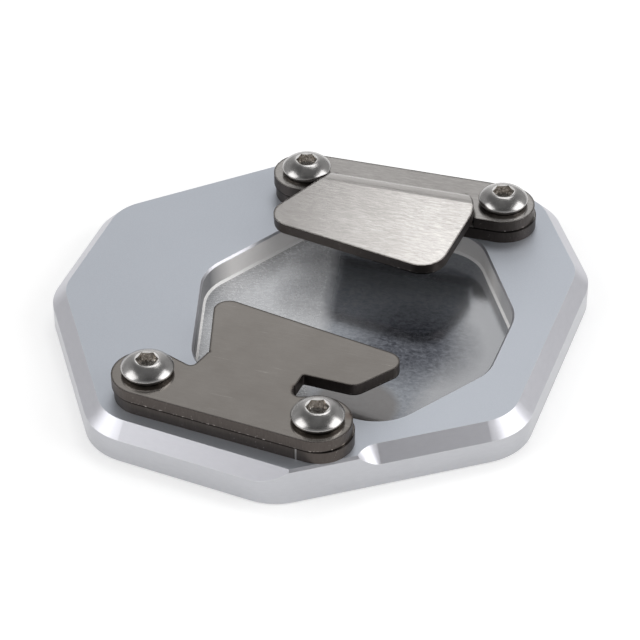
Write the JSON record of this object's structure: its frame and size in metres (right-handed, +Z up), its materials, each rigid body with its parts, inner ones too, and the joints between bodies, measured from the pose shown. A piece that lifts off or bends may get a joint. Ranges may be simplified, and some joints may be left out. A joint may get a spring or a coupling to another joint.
{
  "type": "kickstand foot enlarger",
  "caption": "Milled aluminium foot plate for a motorcycle side stand, with a pocket for the stand's foot and sheet steel clamps on spacers, held by button head screws.",
  "frame": {"origin": "middle of the plate's underside, where the plate rests on the ground", "axes": "+Z up, -Y towards the front clamp, which is the one with the flat notched tongue, and +X along the plate to the right when seen from the front clamp"},
  "size_m": [0.1036, 0.1047, 0.0166],
  "materials": {
    "plate_aluminium": "bead blasted and clear anodised, with smoother milled bevels and a brushed pocket floor",
    "clamp_steel": "cold rolled stainless sheet with dark laser-cut edges",
    "screw_steel": "polished stainless steel"
  },
  "bodies": {
    "root": {"base_plate": "plate_aluminium", "front_spacer": "clamp_steel", "front_clamp": "clamp_steel", "rear_spacer": "clamp_steel", "rear_clamp": "clamp_steel", "screw_front_left": "screw_steel", "screw_front_right": "screw_steel", "screw_rear_left": "screw_steel", "screw_rear_right": "screw_steel"}
  },
  "joints": []
}
